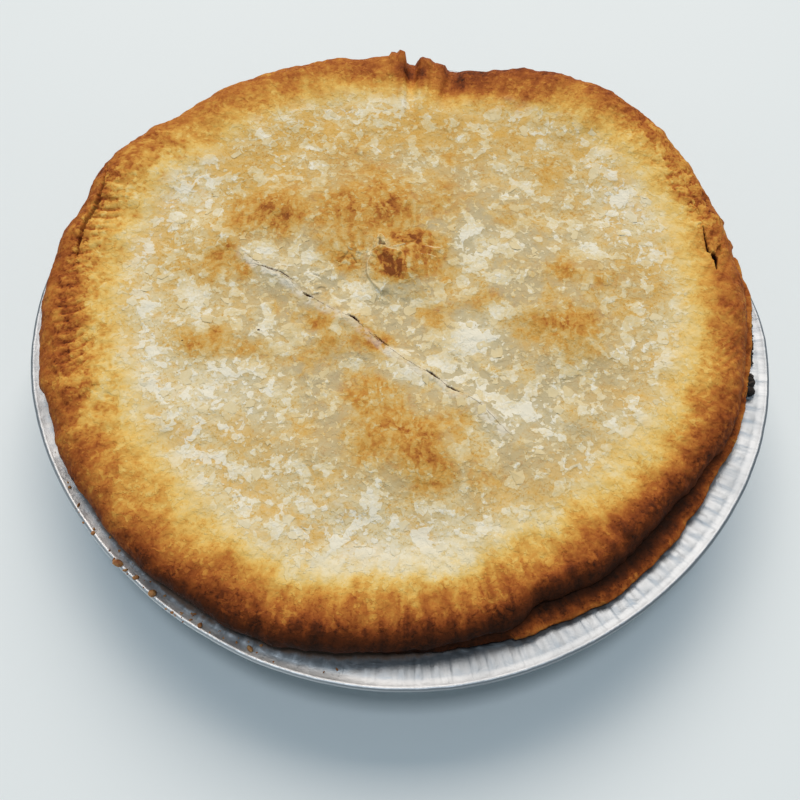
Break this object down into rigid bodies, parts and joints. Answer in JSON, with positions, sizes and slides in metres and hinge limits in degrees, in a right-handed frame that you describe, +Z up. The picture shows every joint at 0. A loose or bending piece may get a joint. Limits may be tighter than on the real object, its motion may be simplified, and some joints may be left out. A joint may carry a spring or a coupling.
{
  "type": "tourtiere",
  "caption": "Round two-crust meat pie with a flaky pale lid, a browned rolled rim and a steam slit, baked in a fluted foil tin.",
  "frame": {"origin": "middle of the tin's outline, on the plane that its flat base stands on", "axes": "+Z up out of the pie, -Y towards the viewer of the picture, +X to the viewer's right"},
  "size_m": [0.2298, 0.2292, 0.0458],
  "materials": {
    "foil": "bright pressed foil, finely fluted and a little creased",
    "crust": "baked pastry, pale and flaky on the lid, golden to dark brown on the rim"
  },
  "bodies": {
    "root": {"foil_tin": "foil", "pie": "crust"}
  },
  "joints": []
}
